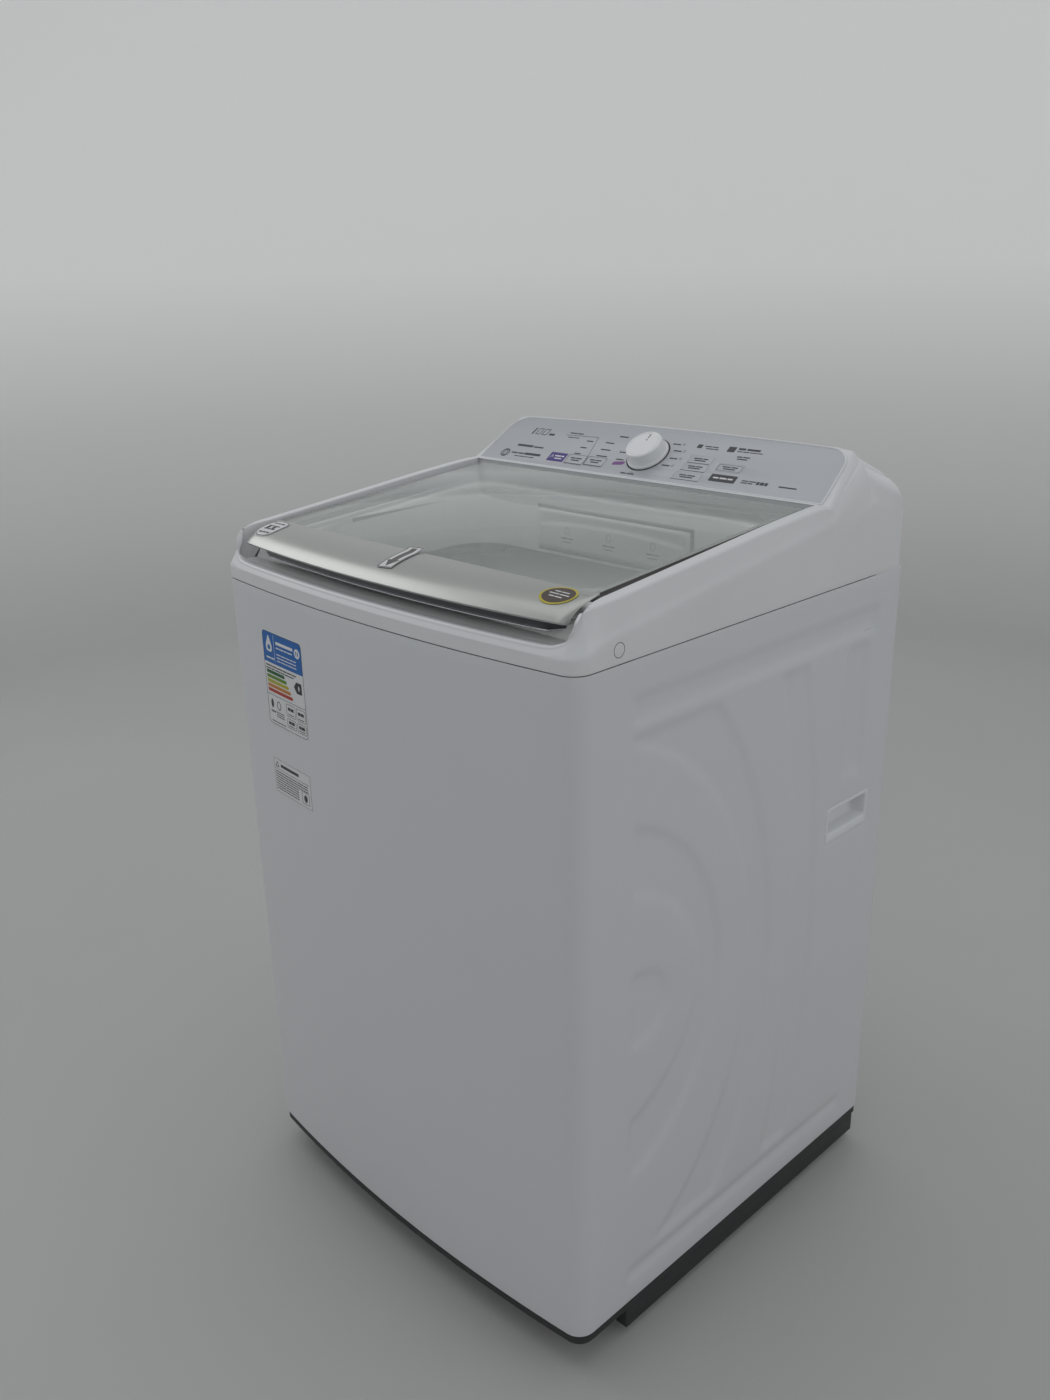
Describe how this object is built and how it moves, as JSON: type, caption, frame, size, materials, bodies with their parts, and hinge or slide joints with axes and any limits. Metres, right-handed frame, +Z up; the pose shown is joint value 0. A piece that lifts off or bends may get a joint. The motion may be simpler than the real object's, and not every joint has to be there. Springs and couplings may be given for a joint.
{
  "type": "top load washing machine",
  "caption": "White top load washing machine with a glass lid, sloped rear console, round dial, detergent drawer, suspended tub, perforated basket and belt drive.",
  "frame": {"origin": "centre of the machine's footprint, on the floor under the levelling feet", "axes": "+Z up, the front faces -Y, the console is at +Y and +X is the machine's right-hand side seen from behind the viewer who faces the front"},
  "size_m": [0.64, 0.641, 1.067],
  "materials": {
    "cabinet_enamel": "smooth white enamel",
    "zinc_steel": "zinc plated",
    "cover_white": "gloss white moulding",
    "fascia_silver": "satin silver grey",
    "key_silver": "satin silver grey",
    "dial_white": "gloss white",
    "drawer_white": "white moulding",
    "base_black": "grained black",
    "foot_rubber": "matt black",
    "lid_glass": "clear tempered",
    "lid_silver": "satin silver",
    "lid_grey": "satin dark grey",
    "tub_plastic": "light grey moulding",
    "basket_steel": "bright stainless",
    "ring_grey": "mid grey moulding",
    "agitator_white": "pale moulding",
    "cast_alloy": "as cast",
    "motor_paint": "black paint",
    "belt_rubber": "ribbed black",
    "board_green": "coated board",
    "works_plastic": "natural moulding",
    "hose_rubber": "ribbed black"
  },
  "bodies": {
    "root": {"cabinet": "cabinet_enamel", "back_panel": "zinc_steel", "rear_screws": "zinc_steel", "left_handle_cup": "cover_white", "right_handle_cup": "cover_white", "base_frame": "base_black", "side_rails": "base_black", "foot_lock_nuts": "zinc_steel", "top_cover": "cover_white", "cap_plugs": "cover_white", "console_back_cover": "cover_white", "console_fascia": "fascia_silver", "dial_encoder": "works_plastic", "control_board": "board_green", "pressure_switch": "works_plastic", "inlet_valve": "works_plastic", "cord_gland": "base_black", "drawer_housing": "works_plastic", "lid_switch": "base_black", "hanger_brackets": "zinc_steel", "suspension_rods": "zinc_steel", "spring_cups": "works_plastic", "suspension_springs": "zinc_steel", "drain_pump": "works_plastic", "drain_outlet": "works_plastic", "sump_hose": "hose_rubber"},
    "dial": {"program_dial": "dial_white"},
    "drawer": {"drawer_front": "drawer_white", "drawer_tray": "drawer_white"},
    "lid": {"lid_glass": "lid_glass", "lid_front_trim": "lid_silver", "lid_grip": "lid_grey", "lid_frame": "lid_grey", "lid_hinge_pins": "zinc_steel"},
    "tub": {"outer_tub": "tub_plastic", "tub_ring": "tub_plastic", "tub_seal": "foot_rubber", "gearcase": "cast_alloy", "motor_bracket": "zinc_steel", "drive_motor": "motor_paint", "drive_belt": "belt_rubber"},
    "basket": {"wash_basket": "basket_steel", "basket_hub": "cast_alloy", "balance_ring": "ring_grey"},
    "agitator": {"agitator": "agitator_white", "agitator_cap": "agitator_white", "agitator_shaft": "zinc_steel"},
    "drive_wheel": {"drive_pulley": "cast_alloy"},
    "motor_wheel": {"motor_pulley": "cast_alloy"},
    "pump_wheel": {"pump_impeller": "works_plastic"},
    "key_fill_level_body": {"key_fill_level": "key_silver"},
    "key_soak_body": {"key_soak": "key_silver"},
    "key_rinse_body": {"key_rinse": "key_silver"},
    "key_spin_body": {"key_spin": "key_silver"},
    "key_economy_body": {"key_economy": "key_silver"},
    "key_start_body": {"key_start": "key_silver"},
    "foot_front_right_body": {"foot_front_right": "foot_rubber"},
    "foot_rear_right_body": {"foot_rear_right": "foot_rubber"},
    "foot_rear_left_body": {"foot_rear_left": "foot_rubber"},
    "foot_front_left_body": {"foot_front_left": "foot_rubber"}
  },
  "joints": [
    {"name": "lid_hinge", "type": "hinge", "parent": "root", "child": "lid", "pos_m": [0, 0.131, 0.995], "axis": [-1, 0, 0], "range_deg": [0, 100]},
    {"name": "dial_turn", "type": "hinge", "parent": "root", "child": "dial", "pos_m": [0, 0.18433, 1.03466], "axis": [0, -0.5664, 0.8241], "continuous": true},
    {"name": "drawer_slide", "type": "slide", "parent": "root", "child": "drawer", "axis": [0, -1, 0], "range_m": [0, 0.115]},
    {"name": "tub_bounce", "type": "slide", "parent": "root", "child": "tub", "axis": [0, 0, 1], "range_m": [-0.02, 0.01], "stiffness_N_per_m": 16000, "springref_m": 0.022, "deforming": ["suspension_springs", "sump_hose"]},
    {"name": "basket_spin", "type": "hinge", "parent": "tub", "child": "basket", "pos_m": [0, 0, 0.3], "axis": [0, 0, 1], "continuous": true},
    {"name": "agitator_turn", "type": "hinge", "parent": "basket", "child": "agitator", "pos_m": [0, 0, 0.32], "axis": [0, 0, 1], "continuous": true},
    {"name": "drive_pulley_spin", "type": "hinge", "parent": "tub", "child": "drive_wheel", "pos_m": [0, 0, 0.157], "axis": [0, 0, 1], "continuous": true},
    {"name": "motor_spin", "type": "hinge", "parent": "tub", "child": "motor_wheel", "pos_m": [-0.165, 0, 0.157], "axis": [0, 0, 1], "continuous": true},
    {"name": "pump_spin", "type": "hinge", "parent": "root", "child": "pump_wheel", "pos_m": [0.14, 0.14, 0.1], "axis": [0, 0, 1], "continuous": true},
    {"name": "key_fill_level_press", "type": "slide", "parent": "root", "child": "key_fill_level_body", "axis": [0, 0.5664, -0.8241], "range_m": [0, 0.0012], "stiffness_N_per_m": 350, "springref_m": -0.0002},
    {"name": "key_soak_press", "type": "slide", "parent": "root", "child": "key_soak_body", "axis": [0, 0.5664, -0.8241], "range_m": [0, 0.0012], "stiffness_N_per_m": 350, "springref_m": -0.0002},
    {"name": "key_rinse_press", "type": "slide", "parent": "root", "child": "key_rinse_body", "axis": [0, 0.5664, -0.8241], "range_m": [0, 0.0012], "stiffness_N_per_m": 350, "springref_m": -0.0002},
    {"name": "key_spin_press", "type": "slide", "parent": "root", "child": "key_spin_body", "axis": [0, 0.5664, -0.8241], "range_m": [0, 0.0012], "stiffness_N_per_m": 350, "springref_m": -0.0002},
    {"name": "key_economy_press", "type": "slide", "parent": "root", "child": "key_economy_body", "axis": [0, 0.5664, -0.8241], "range_m": [0, 0.0012], "stiffness_N_per_m": 350, "springref_m": -0.0002},
    {"name": "key_start_press", "type": "slide", "parent": "root", "child": "key_start_body", "axis": [0, 0.5664, -0.8241], "range_m": [0, 0.0012], "stiffness_N_per_m": 350, "springref_m": -0.0002},
    {"name": "foot_front_right_screw", "type": "slide", "parent": "root", "child": "foot_front_right_body", "axis": [0, 0, -1], "range_m": [0, 0.012]},
    {"name": "foot_rear_right_screw", "type": "slide", "parent": "root", "child": "foot_rear_right_body", "axis": [0, 0, -1], "range_m": [0, 0.012]},
    {"name": "foot_rear_left_screw", "type": "slide", "parent": "root", "child": "foot_rear_left_body", "axis": [0, 0, -1], "range_m": [0, 0.012]},
    {"name": "foot_front_left_screw", "type": "slide", "parent": "root", "child": "foot_front_left_body", "axis": [0, 0, -1], "range_m": [0, 0.012]}
  ],
  "couplings": [
    {"joint": "drive_pulley_spin", "follows": "basket_spin", "ratio": 1},
    {"joint": "motor_spin", "follows": "basket_spin", "ratio": 3.1667}
  ]
}
